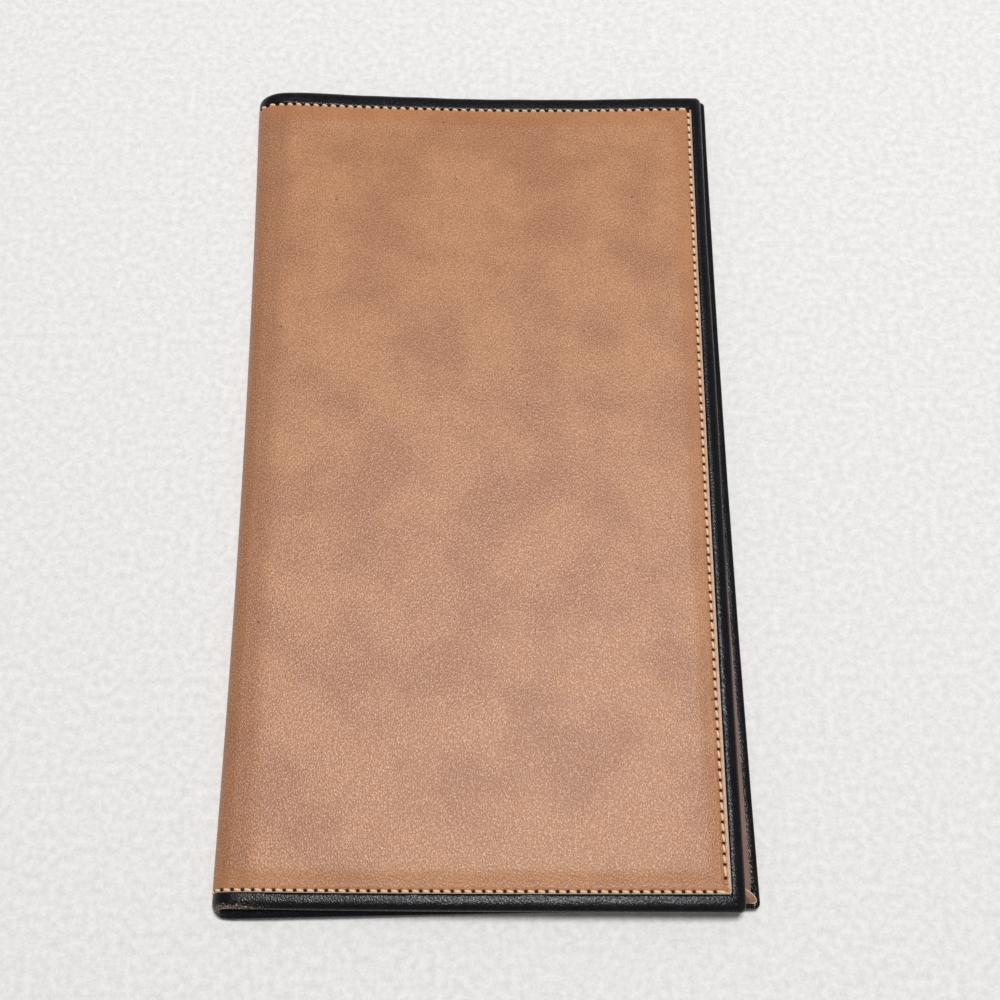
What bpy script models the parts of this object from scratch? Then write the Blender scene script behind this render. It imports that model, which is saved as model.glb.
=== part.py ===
"""A folding leather holder for travel documents, lying closed on its back cover.

The frame has +X from the fold to the free edges, +Y along the fold and +Z up. The
origin is on the floor face of the back cover, midway between fold and free edge.
Each cover is described by three lengths: u from the fold's centre line to the free
edge, v along the fold, and w from the outer face inwards. The soft fold is a row of
narrow strips, each turning on the one before, so that the front cover can swing
over and lie flat beside the back cover.
"""

from math import cos, pi, radians, sin, tan

import bmesh
import bpy
import numpy as np

MM = 0.001

# Outline of the covers
COVER_LENGTH = 228 * MM
FRONT_REACH = 122.6 * MM
BACK_REACH = 125.2 * MM
CORNER_RADIUS = 1.4 * MM
FOLD_SKEW = radians(0.35)

# Layers, from the outer face inwards
OUTER_LEATHER = 0.8 * MM
PADDING = 0.4 * MM
BASE_LEATHER = 0.75 * MM
BOARD = 0.5 * MM
TURNED_EDGE = 0.5 * MM
PANEL = 0.45 * MM
POCKET = 0.4 * MM
LAYER_GAP = 0.1 * MM
MEETING_GAP = 0.3 * MM

# Base leather, thinned under the board and turned in over it
BOARD_RECESS = 0.15 * MM
EDGE_WALL = 0.9 * MM
EDGE_ROUND = 0.7 * MM
TURN_IN = 12 * MM
TURN_IN_START = 3 * MM
STEP_RUN = 0.1 * MM

# Outer leather: its cut edge shows the base leather as a border
SIDE_BORDER = 3.1 * MM
END_BORDER = 3.8 * MM
LEATHER_CORNER = 0.5 * MM
FLAT_BAND = 2.2 * MM
ROLL_BAND = 5.8 * MM

# Padding under the outer leather, skived at its edge
PADDING_SKIVE = 4.5 * MM
PADDING_FEATHER = 0.04 * MM
PADDING_CLEARANCE = 1.8 * MM

# Stitching in a channel just inside the cut edge
STITCH_INSET = 1.15 * MM
THREAD = 0.55 * MM
THREAD_HEIGHT = 0.3 * MM
THREAD_PROUD = 0.05 * MM
CHANNEL_SIDE_PLAY = 0.18 * MM
CHANNEL_WALL_RUN = 0.06 * MM
STITCH_START = 1.5 * MM

# Panel and pockets on the inner side
PANEL_SIDE_BORDER = 2.05 * MM
PANEL_END_BORDER = 1.2 * MM
PANEL_START = 5 * MM
POCKET_EDGE = 0.6 * MM
SLANT_TOP = -10 * MM
SLANT_SHOULDER = 45 * MM
SLANT_CORNER_RISE = 3.2 * MM
PASSPORT_TOP = -4 * MM
CARD_BOTTOM = 3 * MM
CARD_UPPER_HEIGHT = 78 * MM
CARD_LOWER_HEIGHT = 60 * MM

# The fold
FOLD_STRIPS = 2
FOLD_JOINT_GAP = 0.3 * MM
ARC_STEPS = 6
EDGE_STEPS = 4

# Depth of each layer's outer side, for both covers
paddingDepth = OUTER_LEATHER + LAYER_GAP
baseDepth = paddingDepth + PADDING + LAYER_GAP
slotDepth = baseDepth + BASE_LEATHER - BOARD_RECESS
boardDepth = slotDepth + LAYER_GAP
turnedDepth = boardDepth + BOARD + LAYER_GAP
panelDepth = turnedDepth + TURNED_EDGE + LAYER_GAP
pocketDepth = panelDepth + PANEL + LAYER_GAP
secondPocketDepth = pocketDepth + POCKET + LAYER_GAP
foldRadius = pocketDepth + POCKET + MEETING_GAP / 2
closedHeight = 2 * foldRadius
crown = PADDING + LAYER_GAP
halfLength = COVER_LENGTH / 2

# The fold's bends lie where the tangents of its round meet
bendAngle = pi / (FOLD_STRIPS + 1)
bendRadius = foldRadius / cos(bendAngle / 2)
foldX = -BACK_REACH / 2


def makeMaterial(name, colour, roughness, metallic=0.0):
    material = bpy.data.materials.new(name)
    material.use_nodes = True
    shader = material.node_tree.nodes["Principled BSDF"]
    shader.inputs["Base Color"].default_value = (*colour, 1.0)
    shader.inputs["Roughness"].default_value = roughness
    shader.inputs["Metallic"].default_value = metallic
    material.diffuse_color = (*colour, 1.0)
    return material


def makeEmpty(name, location, rotation=(0.0, 0.0, 0.0), parent=None):
    empty = bpy.data.objects.new(name, None)
    empty.empty_display_size = 0.01
    empty.location = location
    empty.rotation_euler = rotation
    empty.parent = parent
    bpy.context.scene.collection.objects.link(empty)
    return empty


def makeObject(name, points, faces, parent, material):
    """A mesh object of the points and faces, with its faces turned outwards."""
    mesh = bpy.data.meshes.new(name)
    mesh.from_pydata([tuple(point) for point in points], [], faces)
    shape = bmesh.new()
    shape.from_mesh(mesh)
    bmesh.ops.recalc_face_normals(shape, faces=shape.faces)
    shape.to_mesh(mesh)
    shape.free()
    mesh.materials.append(material)
    mesh.shade_smooth()
    mesh.set_sharp_from_angle(angle=radians(30))
    part = bpy.data.objects.new(name, mesh)
    part.parent = parent
    bpy.context.scene.collection.objects.link(part)
    return part


def hideCutter(cutter):
    cutter.hide_render = True
    cutter.display_type = "WIRE"
    return cutter


class Cover:
    """One cover: the empty that carries it, how far it reaches from the fold, on which
    side of that empty it lies, and how far its outline is turned from the fold."""

    def __init__(self, name, reach, side, skew, empty):
        self.name = name
        self.reach = reach
        self.side = side
        self.slope = tan(skew)
        self.empty = empty

    def place(self, u, v, w):
        """Points of the cover. Where u is negative, it is a length round the fold. The
        outline is turned by the skew, but its side at the fold stays on the fold."""
        flat = np.maximum(u, 0)
        angle = np.minimum(u, 0) / foldRadius
        depth = foldRadius - (foldRadius - w) * np.cos(angle)
        depth = np.where(u < 0, depth, w)
        along = flat - v * self.slope * flat / self.reach
        x = self.side * (along + (foldRadius - w) * np.sin(angle))
        y = v + flat * self.slope
        return np.stack(np.broadcast_arrays(x, y, depth), axis=-1)


def roundCorner(u, v, edgeU, edgeV, radius):
    """Draws the square nets near the two free corners onto quarter circles."""
    inU = radius - (edgeU - u)
    inV = radius - (edgeV - np.abs(v))
    inside = (inU > 0) & (inV > 0)
    length = np.hypot(inU, inV) + (~inside)
    scale = np.where(inside, np.maximum(inU, inV) / length, 1.0)
    newU = np.where(inside, edgeU - radius + inU * scale, u)
    newV = np.where(inside, np.sign(v) * (edgeV - radius + inV * scale), v)
    return newU, newV


def makeSheet(name, cover, border, stations, startU, outer, inner, radius, material):
    """A closed sheet between two surfaces over a cover's outline. The stations are
    distances in from its three outer edges. outer and inner give the depth of its two
    sides from u and the distance to the nearest of those edges."""
    edgeU = cover.reach - border[0]
    edgeV = halfLength - border[1]
    stations = np.array(stations)
    lineU = np.concatenate([startU, edgeU - stations[::-1]])
    lineV = np.concatenate([stations - edgeV, (edgeV - stations)[::-1]])
    u, v = np.meshgrid(lineU, lineV, indexing="ij")
    distance = np.minimum(edgeU - u, edgeV - np.abs(v))
    flatU, flatV = roundCorner(u, v, edgeU, edgeV, radius)
    low = cover.place(flatU, flatV, outer(u, distance)).reshape(-1, 3)
    high = cover.place(flatU, flatV, inner(u, distance)).reshape(-1, 3)
    rows, columns = u.shape
    index = np.arange(rows * columns).reshape(rows, columns)
    quads = np.stack(
        [index[:-1, :-1], index[1:, :-1], index[1:, 1:], index[:-1, 1:]], axis=-1
    )
    quads = quads.reshape(-1, 4)
    rim = np.concatenate(
        [index[:, 0], index[-1, 1:], index[-2::-1, -1], index[0, -2:0:-1]]
    )
    after = np.roll(rim, -1)
    count = rows * columns
    wall = np.stack([rim, after, after + count, rim + count], axis=-1)
    faces = np.concatenate([quads, quads + count, wall]).tolist()
    return makeObject(name, np.concatenate([low, high]), faces, cover.empty, material)


def makePlate(name, cover, outline, depth, thickness, material):
    """A flat plate with the given outline of (u, v) points."""
    outline = np.array(outline)
    count = len(outline)
    low = cover.place(outline[:, 0], outline[:, 1], depth)
    high = cover.place(outline[:, 0], outline[:, 1], depth + thickness)
    faces = [list(range(count)), list(range(count, 2 * count))]
    for i in range(count):
        j = (i + 1) % count
        faces.append([i, j, count + j, count + i])
    return makeObject(name, np.concatenate([low, high]), faces, cover.empty, material)


def rectangle(u0, u1, v0, v1):
    return [(u0, v0), (u1, v0), (u1, v1), (u0, v1)]


def foldSide():
    """Stations round the part of the fold that belongs to a cover, then flat ones."""
    end = foldRadius * (bendAngle / 2) - FOLD_JOINT_GAP / 2
    arc = -end + (end / 3) * np.arange(4)
    return np.concatenate([arc, [STITCH_START, STITCH_START + CHANNEL_WALL_RUN]])


def outerLeather(cover, material):
    """The outer leather rolls down over the edge of its padding and is flat where it
    is sewn, with a channel for the thread."""
    wall = CHANNEL_WALL_RUN
    side = THREAD / 2 + CHANNEL_SIDE_PLAY
    channelDepth = THREAD_HEIGHT - THREAD_PROUD + LAYER_GAP
    channel = [STITCH_INSET - side - wall, STITCH_INSET - side]
    channel += [STITCH_INSET + side, STITCH_INSET + side + wall]
    roll = [FLAT_BAND + ROLL_BAND * step / EDGE_STEPS for step in range(EDGE_STEPS + 1)]

    def outer(u, distance):
        rise = np.clip((distance - FLAT_BAND) / ROLL_BAND, 0, 1)
        depth = crown * (1 - rise * rise * (3 - 2 * rise))
        inChannel = (distance > channel[0] + wall / 2) & (distance < channel[3] - wall / 2)
        inChannel &= u > STITCH_START + wall / 2
        return depth + channelDepth * inChannel

    def inner(u, distance):
        rise = np.clip((distance - FLAT_BAND) / ROLL_BAND, 0, 1)
        return crown * (1 - rise * rise * (3 - 2 * rise)) + OUTER_LEATHER

    border = (SIDE_BORDER, END_BORDER)
    stations = [0, *channel, *roll]
    name = cover.name + "_outer_leather"
    makeSheet(name, cover, border, stations, foldSide(), outer, inner, LEATHER_CORNER, material)


def padding(cover, material):
    """A thin soft layer whose edge is cut at a slant under the rolled leather."""
    inset = PADDING_CLEARANCE + FLAT_BAND
    border = (SIDE_BORDER + inset, END_BORDER + inset)

    def outer(u, distance):
        rise = np.clip(distance / PADDING_SKIVE, 0, 1)
        return paddingDepth + (PADDING - PADDING_FEATHER) * (1 - rise)

    def inner(u, distance):
        return paddingDepth + PADDING + 0 * distance

    stations = [0, PADDING_SKIVE]
    name = cover.name + "_padding"
    makeSheet(name, cover, border, stations, foldSide()[:4], outer, inner, 0.0, material)


def baseLeather(cover, material):
    """The base leather lies under the whole cover. Its three outer edges are rounded
    and turned in over the board."""
    turns = [pi / 2 * step / EDGE_STEPS for step in range(EDGE_STEPS + 1)]
    steps = [EDGE_ROUND * (1 - cos(turn)) for turn in turns]
    stations = [*steps, TURN_IN, TURN_IN + STEP_RUN]

    def rounding(distance):
        inward = np.clip(EDGE_ROUND - distance, 0, EDGE_ROUND)
        return EDGE_ROUND - np.sqrt(EDGE_ROUND**2 - inward**2)

    def outer(u, distance):
        return baseDepth + rounding(distance)

    def inner(u, distance):
        turned = (distance < TURN_IN + STEP_RUN / 2) & (u > TURN_IN_START + STEP_RUN / 2)
        full = turnedDepth + TURNED_EDGE
        sheet = baseDepth + BASE_LEATHER
        return np.where(turned, full, sheet) - rounding(distance) * turned

    start = np.concatenate([foldSide()[:4], [TURN_IN_START, TURN_IN_START + STEP_RUN]])
    name = cover.name + "_base_leather"
    shell = makeSheet(name, cover, (0, 0), stations, start, outer, inner, CORNER_RADIUS, material)
    outline = rectangle(
        TURN_IN_START / 2,
        cover.reach - EDGE_WALL,
        EDGE_WALL - halfLength,
        halfLength - EDGE_WALL,
    )
    slot = makePlate(
        cover.name + "_board_slot", cover, outline, slotDepth, turnedDepth - slotDepth, material
    )
    hideCutter(slot)
    cut = shell.modifiers.new("board slot", "BOOLEAN")
    cut.operation = "DIFFERENCE"
    cut.object = slot


def stiffener(cover, material):
    play = EDGE_WALL + LAYER_GAP
    edgeV = halfLength - play
    outline = rectangle(TURN_IN_START, cover.reach - play, -edgeV, edgeV)
    makePlate(cover.name + "_stiffener", cover, outline, boardDepth, BOARD, material)


def stitching(cover, material):
    """One thread round the three sewn edges, sunk in the outer leather's channel."""
    outU = cover.reach - SIDE_BORDER - STITCH_INSET + THREAD / 2
    outV = halfLength - END_BORDER - STITCH_INSET + THREAD / 2
    start = STITCH_START + CHANNEL_WALL_RUN + CHANNEL_SIDE_PLAY
    outline = [(start, outV), (outU, outV), (outU, -outV), (start, -outV)]
    outline += [(start, THREAD - outV), (outU - THREAD, THREAD - outV)]
    outline += [(outU - THREAD, outV - THREAD), (start, outV - THREAD)]
    depth = crown - THREAD_PROUD
    makePlate(cover.name + "_stitching", cover, outline, depth, THREAD_HEIGHT, material)


def innerPanel(cover, name, material):
    edgeV = halfLength - PANEL_END_BORDER
    outline = rectangle(PANEL_START, cover.reach - PANEL_SIDE_BORDER, -edgeV, edgeV)
    makePlate(name, cover, outline, panelDepth, PANEL, material)


def pocketEdges(cover):
    """How far a pocket reaches towards the free edge and towards both ends."""
    reach = cover.reach - PANEL_SIDE_BORDER - POCKET_EDGE
    return reach, halfLength - PANEL_END_BORDER - POCKET_EDGE


def slantPocket(cover, material):
    """A pocket whose mouth slants up from the free corner towards the fold."""
    reach, end = pocketEdges(cover)
    outline = [(PANEL_START, -end), (reach, -end), (reach, SLANT_CORNER_RISE - end)]
    outline += [(SLANT_SHOULDER, SLANT_TOP), (PANEL_START, SLANT_TOP)]
    makePlate("back_slant_pocket", cover, outline, pocketDepth, POCKET, material)


def frontPockets(cover, pocketMaterial, cardMaterial):
    reach, end = pocketEdges(cover)
    outline = rectangle(PANEL_START, reach, -end, PASSPORT_TOP)
    makePlate("passport_pocket", cover, outline, pocketDepth, POCKET, pocketMaterial)
    slots = {
        "card_slot_upper": (pocketDepth, CARD_UPPER_HEIGHT),
        "card_slot_lower": (secondPocketDepth, CARD_LOWER_HEIGHT),
    }
    for name, (depth, height) in slots.items():
        outline = rectangle(PANEL_START, reach, CARD_BOTTOM, CARD_BOTTOM + height)
        makePlate(name, cover, outline, depth, POCKET, cardMaterial)


def makeCover(cover, materials):
    outerLeather(cover, materials["outer leather"])
    padding(cover, materials["padding"])
    baseLeather(cover, materials["base leather"])
    stiffener(cover, materials["board"])
    stitching(cover, materials["thread"])


def bendPoint(number):
    """The axis of a bend of the fold, counted from the back cover."""
    angle = bendAngle * (number - 0.5)
    x = foldX - bendRadius * sin(angle)
    return np.array([x, 0.0, foldRadius - bendRadius * cos(angle)])


def foldStrip(number, empty, layers):
    """The layers of one strip of the fold, as slices of nested tubes."""
    origin = bendPoint(number)
    for layerName, depth, thickness, end, material in layers:
        points = []
        faces = []
        outerArc = []
        innerArc = []
        for step in range(ARC_STEPS + 1):
            outerArc.append((step / ARC_STEPS, foldRadius - depth))
            innerArc.append((1 - step / ARC_STEPS, foldRadius - depth - thickness))
        profile = outerArc + innerArc
        for y in (-end, end):
            for share, radius in profile:
                play = FOLD_JOINT_GAP / 2 / radius
                first = bendAngle * (number - 0.5) + play
                last = bendAngle * (number + 0.5) - play
                angle = first + (last - first) * share
                point = (foldX - radius * sin(angle), y, foldRadius - radius * cos(angle))
                points.append(np.array(point) - origin)
        count = len(profile)
        faces.append(list(range(count)))
        faces.append(list(range(count, 2 * count)))
        for i in range(count):
            j = (i + 1) % count
            faces.append([i, j, count + j, count + i])
        makeObject(f"fold_{layerName}_{number}", points, faces, empty, material)


def main():
    for item in list(bpy.data.objects):
        bpy.data.objects.remove(item, do_unlink=True)

    materials = {
        "outer leather": makeMaterial("tan leather", (0.47, 0.24, 0.115), 0.5),
        "padding": makeMaterial("foam", (0.45, 0.42, 0.38), 0.9),
        "base leather": makeMaterial("black leather", (0.012, 0.012, 0.015), 0.45),
        "board": makeMaterial("grey board", (0.28, 0.25, 0.21), 0.85),
        "panel": makeMaterial("brown leather", (0.27, 0.14, 0.08), 0.6),
        "pocket": makeMaterial("tan pocket leather", (0.31, 0.15, 0.075), 0.6),
        "thread": makeMaterial("cream thread", (0.82, 0.57, 0.38), 0.7),
    }

    backEmpty = makeEmpty("back_cover_frame", (foldX, 0, 0))
    back = Cover("back", BACK_REACH, 1, FOLD_SKEW, backEmpty)
    makeCover(back, materials)
    innerPanel(back, "back_ticket_panel", materials["panel"])
    slantPocket(back, materials["pocket"])

    layers = [
        ("outer_leather", 0, OUTER_LEATHER, halfLength - END_BORDER, materials["outer leather"]),
        ("padding", paddingDepth, PADDING, halfLength - END_BORDER, materials["padding"]),
        ("base_leather", baseDepth, BASE_LEATHER, halfLength, materials["base leather"]),
    ]
    parent = None
    previous = np.zeros(3)
    for number in range(1, FOLD_STRIPS + 2):
        point = bendPoint(number)
        parent = makeEmpty(f"fold_bend_{number}", point - previous, parent=parent)
        previous = point
        if number <= FOLD_STRIPS:
            foldStrip(number, parent, layers)

    place = np.array([foldX, 0, closedHeight]) - previous
    frontEmpty = makeEmpty("front_cover_frame", place, (0, pi, 0), parent)
    front = Cover("front", FRONT_REACH, -1, -FOLD_SKEW, frontEmpty)
    makeCover(front, materials)
    innerPanel(front, "front_inner_panel", materials["panel"])
    frontPockets(front, materials["pocket"], materials["panel"])


main()
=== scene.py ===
from math import cos, inf, pi, radians, sin, tan

import bmesh
import bpy
import numpy as np
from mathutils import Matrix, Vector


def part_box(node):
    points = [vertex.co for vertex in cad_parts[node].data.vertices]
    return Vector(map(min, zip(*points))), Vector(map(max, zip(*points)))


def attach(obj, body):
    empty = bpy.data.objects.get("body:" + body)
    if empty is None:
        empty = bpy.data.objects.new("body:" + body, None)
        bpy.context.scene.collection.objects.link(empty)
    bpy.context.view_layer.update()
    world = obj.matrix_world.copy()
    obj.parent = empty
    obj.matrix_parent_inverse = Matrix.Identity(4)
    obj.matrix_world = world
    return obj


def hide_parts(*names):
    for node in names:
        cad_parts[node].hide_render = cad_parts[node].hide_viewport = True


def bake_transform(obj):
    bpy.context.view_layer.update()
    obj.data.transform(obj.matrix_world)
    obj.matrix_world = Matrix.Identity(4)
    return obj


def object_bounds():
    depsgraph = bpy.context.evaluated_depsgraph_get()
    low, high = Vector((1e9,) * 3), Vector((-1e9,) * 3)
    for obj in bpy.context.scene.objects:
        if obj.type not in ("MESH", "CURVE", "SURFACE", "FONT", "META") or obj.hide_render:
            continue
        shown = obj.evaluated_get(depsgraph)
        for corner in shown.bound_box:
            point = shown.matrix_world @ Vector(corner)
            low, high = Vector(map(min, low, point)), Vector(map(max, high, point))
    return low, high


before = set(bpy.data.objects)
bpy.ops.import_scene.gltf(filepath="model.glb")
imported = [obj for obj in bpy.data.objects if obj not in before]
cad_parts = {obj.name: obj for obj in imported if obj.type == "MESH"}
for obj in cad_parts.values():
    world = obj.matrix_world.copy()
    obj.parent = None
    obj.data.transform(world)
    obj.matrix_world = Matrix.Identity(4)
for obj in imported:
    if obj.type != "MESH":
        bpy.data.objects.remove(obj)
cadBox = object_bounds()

# Shapes are worked out in millimetres, and putMesh turns them into metres
mm = 0.001

# Sizes that come from the frame: the fold's radius, its centre line and the covers' length
foldRadius = (cadBox[1][2] - cadBox[0][2]) / mm / 2
foldArc = pi * foldRadius
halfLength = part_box("fold_base_leather_1")[1][1] / mm
bendAngle = radians(60)
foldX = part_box("back_outer_leather")[0][0] / mm + foldRadius * sin(bendAngle / 2)

# The black border that the outer leather leaves bare, at the free sides and at the ends
border = {"side": 3.1, "end": 3.8}

holder = {
    "skew": 0.35,  # degrees that each cover's outline is turned from the fold
    "frontReach": 122.6,  # from the fold's centre line to the free edge
    "backReach": 125.2,
    "frontWaist": 0.45,  # how far use has drawn each side in at its middle
    "backWaist": 0.75,
    "foldWaist": 1.45,
    "foldBulge": (1.15, 0.25),  # the fold stands out past its round: middle, more at the top
    "backSpread": 0.45,
    "topHollow": (0.6, -0.97),  # the upper edge runs hollow: at this share of it, by so much
    "topRise": (2.95, 2.1),  # and rises from there to the fold and to the free side
    "topTurn": (0.3, 1.1),  # and falls this much round the fold: all of it, and its border besides
    "shoulder": (1.4, 7.0),  # the front sinks to the fold's middle by this much, from so far
    "backTop": 0.98,  # the back's upper edge falls this much to the free side
    "topBorder": 0.95,  # change of the black border's width at the top
    "footBorder": (0.05, 0.25),  # at the foot: by the fold, and more at the free side
    "sideBorder": 0.5,  # and at the front's free side, below its upper third
    "lowerRise": 0.45,  # the lower edge of the front rises to the fold, the back's falls
    "lowerFall": (1.25, 1.15, 0.35),  # by this much at the fold, fading with this power, and all over
}
slope = tan(radians(holder["skew"]))


# 0 before start, 1 after end, and a smooth rise between
def smoothRise(value, start, end):
    share = np.clip((value - start) / (end - start), 0, 1)
    return share * share * (3 - 2 * share)


# How far use has pressed the fold's upper half down, as a length t across the leathers
def foldSink(t):
    sink, until = holder["shoulder"]
    return sink * (1 - smoothRise(t, -foldArc / 2, until)) * smoothRise(t, -foldArc, -foldArc / 2)


# A point of the folded leathers. t is the length across them: u of the front cover above
# 0, then round the fold to -foldArc, then u of the back cover. v runs along the fold and
# w in from the outer face. Covers: x = u less waist and skew, y = v plus skew, with the
# ends bowed by the fourth power of v. Fold: a circle of radius foldRadius - w, fuller at
# its ends than at the middle of its length, with its upper half pressed down.
def leatherPoint(t, v, w):
    t, v, w = np.broadcast_arrays(*(np.asarray(a, dtype=float) for a in (t, v, w)))
    isFront = t > -foldArc / 2
    side = np.where(isFront, -1.0, 1.0)
    reach = np.where(isFront, holder["frontReach"], holder["backReach"])
    waist = np.where(isFront, holder["frontWaist"], holder["backWaist"])
    u = np.maximum(np.where(isFront, t, -t - foldArc), 0)
    angle = np.clip(pi + t / foldRadius, 0, pi)
    middle = 1 - (v / halfLength) ** 2
    share = u / reach
    spread = np.where(isFront, 0.0, holder["backSpread"])
    x = foldX + u + (spread - waist * middle - side * v * slope) * share
    bulge = holder["foldBulge"][0] + holder["foldBulge"][1] * v / halfLength
    x = x - (foldRadius - w + bulge - holder["foldWaist"] * middle) * np.sin(angle)
    atTop = np.clip(v / halfLength, 0, 1) ** 4
    atFoot = np.clip(-v / halfLength, 0, 1) ** 4
    hollowAt, hollow = holder["topHollow"]
    bow = np.abs(share - hollowAt) / hollowAt
    rise = np.where(share < hollowAt, holder["topRise"][0] * bow**1.7, holder["topRise"][1] * bow**2)
    rise = np.where(isFront, rise, holder["topRise"][0] - holder["backTop"] * share)
    inTop = np.clip((v - halfLength + border["end"]) / border["end"], 0, 1)
    inFoot = np.clip((-v - halfLength + border["end"]) / border["end"], 0, 1)
    turnAll, turnBorder = holder["topTurn"]
    top = hollow + rise - turnAll * smoothRise(-t, -3, 6)
    top = top - turnBorder * inTop * smoothRise(-t, -10, 5)
    foot = holder["lowerRise"] * (1 - share) ** 4 * smoothRise(t, -foldArc, -foldArc / 2)
    fall, power, least = holder["lowerFall"]
    foot = foot - (fall * np.clip(1 - share, 0, 1) ** power + least) * smoothRise(-t, 3, 10.5)
    footWider = holder["footBorder"][0] + holder["footBorder"][1] * share
    y = v + side * u * slope + top * atTop + foot * atFoot
    y = y + holder["topBorder"] * inTop - footWider * inFoot
    inSide = np.clip((t - reach + border["side"]) / border["side"], 0, 1) * smoothRise(-v, -75, -20)
    x = x + holder["sideBorder"] * inSide
    z = foldRadius - (foldRadius - w) * np.cos(angle) - foldSink(t)
    return np.stack([x, y, z], axis=-1)


# sRGB hex to linear: below 0.04045 a twelfth, above it a 2.4 power
def colour(code):
    values = [int(code[i:i + 2], 16) / 255 for i in (1, 3, 5)]
    linear = [c / 12.92 if c <= 0.04045 else ((c + 0.055) / 1.055) ** 2.4 for c in values]
    return (*linear, 1.0)


print("scene: materials")


# Adds a node, sets its properties, and fills its inputs with values or links
def addNode(tree, kind, inputs=(), **settings):
    node = tree.nodes.new(kind)
    for key, value in settings.items():
        setattr(node, key, value)
    for key, value in dict(inputs).items():
        if isinstance(value, bpy.types.NodeSocket):
            tree.links.new(value, node.inputs[key])
        else:
            node.inputs[key].default_value = value
    return node


# A material with its shader; the pattern function fills the shader's inputs
def newMaterial(name, pattern, **fixed):
    material = bpy.data.materials.new(name)
    material.use_nodes = True
    tree = material.node_tree
    shader = tree.nodes["Principled BSDF"]
    for key, value in fixed.items():
        shader.inputs[key.replace("_", " ")].default_value = value
    pattern(tree, shader)
    return material


# a and b mixed by factor, as colours
def mixColours(tree, factor, a, b):
    return addNode(tree, "ShaderNodeMix", {0: factor, 6: a, 7: b}, data_type="RGBA").outputs[2]


# One arithmetic step on sockets or numbers
def maths(tree, operation, a, b=0.0, c=0.0):
    return addNode(tree, "ShaderNodeMath", {0: a, 1: b, 2: c}, operation=operation).outputs[0]


# The skin with a colour laid over it, as much as the amount and its share say
def tint(tree, skin, amount, code, share=1.0):
    if share != 1.0:
        amount = maths(tree, "MULTIPLY", amount, share)
    return mixColours(tree, amount, skin, colour(code))


# A shader input filled by a link
def fill(tree, shader, name, socket):
    tree.links.new(socket, shader.inputs[name])


# Relief from a height field; the distance is in mm
def addBump(tree, shader, height, strength, distance):
    inputs = {"Height": height, "Strength": strength, "Distance": distance * mm}
    fill(tree, shader, "Normal", addNode(tree, "ShaderNodeBump", inputs).outputs[0])


# 0 to 1 as the value goes from low to high
def ramp(tree, value, low, high):
    inputs = {0: value, 1: low, 2: high, 3: 0.0, 4: 1.0}
    return addNode(tree, "ShaderNodeMapRange", inputs, clamp=True).outputs[0]


# Noise between about 0.3 and 0.7 on coordinates in metres, with patches of the given size in mm
def noise(tree, vector, size, detail=2.0, rough=0.5):
    inputs = {"Vector": vector, "Scale": 1 / (size * mm), "Detail": detail, "Roughness": rough}
    return addNode(tree, "ShaderNodeTexNoise", inputs).outputs[0]


# Flat leather coordinates in metres, turned and stretched
def flatCoordinates(tree, turn=0.0, stretch=(1.0, 1.0, 1.0)):
    place = addNode(tree, "ShaderNodeUVMap", uv_map="flat").outputs[0]
    inputs = {"Vector": place, "Rotation": (0.0, 0.0, radians(turn)), "Scale": stretch}
    return addNode(tree, "ShaderNodeMapping", inputs).outputs[0]


# A number kept on the mesh's points
def pointValue(tree, name):
    return addNode(tree, "ShaderNodeAttribute", attribute_name=name).outputs["Fac"]


# Pebbled grain of hide: rounded pebbles of the given size in mm, pushed about by a noise
# and drawn out along one way, as a height from 0 to 1
def hideGrain(tree, size, turn, stretch=1.5):
    place = flatCoordinates(tree, turn, (1.0, 1.0 / stretch, 1.0))
    bend = noise(tree, place, size * 2.2, 2.0)
    inputs = {0: place, 1: (size * mm * 1.4,) * 3}
    shifted = addNode(tree, "ShaderNodeVectorMath", inputs, operation="ADD").outputs[0]
    inputs = {0: bend, 4: place, 5: shifted}
    push = addNode(tree, "ShaderNodeMix", inputs, data_type="VECTOR").outputs[1]
    inputs = {"Vector": push, "Scale": 1 / (size * mm)}
    pebbles = addNode(tree, "ShaderNodeTexVoronoi", inputs)
    return ramp(tree, pebbles.outputs["Distance"], 0.8, 0.0)


tanLeather = {
    "base": "#D49363",
    "deep": "#C28255",
    "patch": "#9A532B",
    "pale": "#DDAE85",
    "roll": "#AE744B",  # painted shade where the surface rolls down to the sewn edge
    "turned": "#965E40",  # painted shade round the fold, where the surface turns away from the lamp
    "furrow": "#7E4E33",
    "cutEdge": "#DDBBA0",
    "cutDeep": "#B98F70",
    "pore": "#5A3826",
    # painted shade inside the stitch holes
    "pit": "#2A1408",
    "patchSize": 22,
    "cloudSize": 7,
    "speckSize": 0.38,
    "grainSize": 0.42,
    "marginAndHighlight": "#C3A085",  # the paler margin outside the stitches: its burnished tone with a painted highlight along the cut edge
    "poreSpacing": 34,
    "roughness": (0.3, 0.44),  # on the crests of the grain, in its furrows
}


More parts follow.
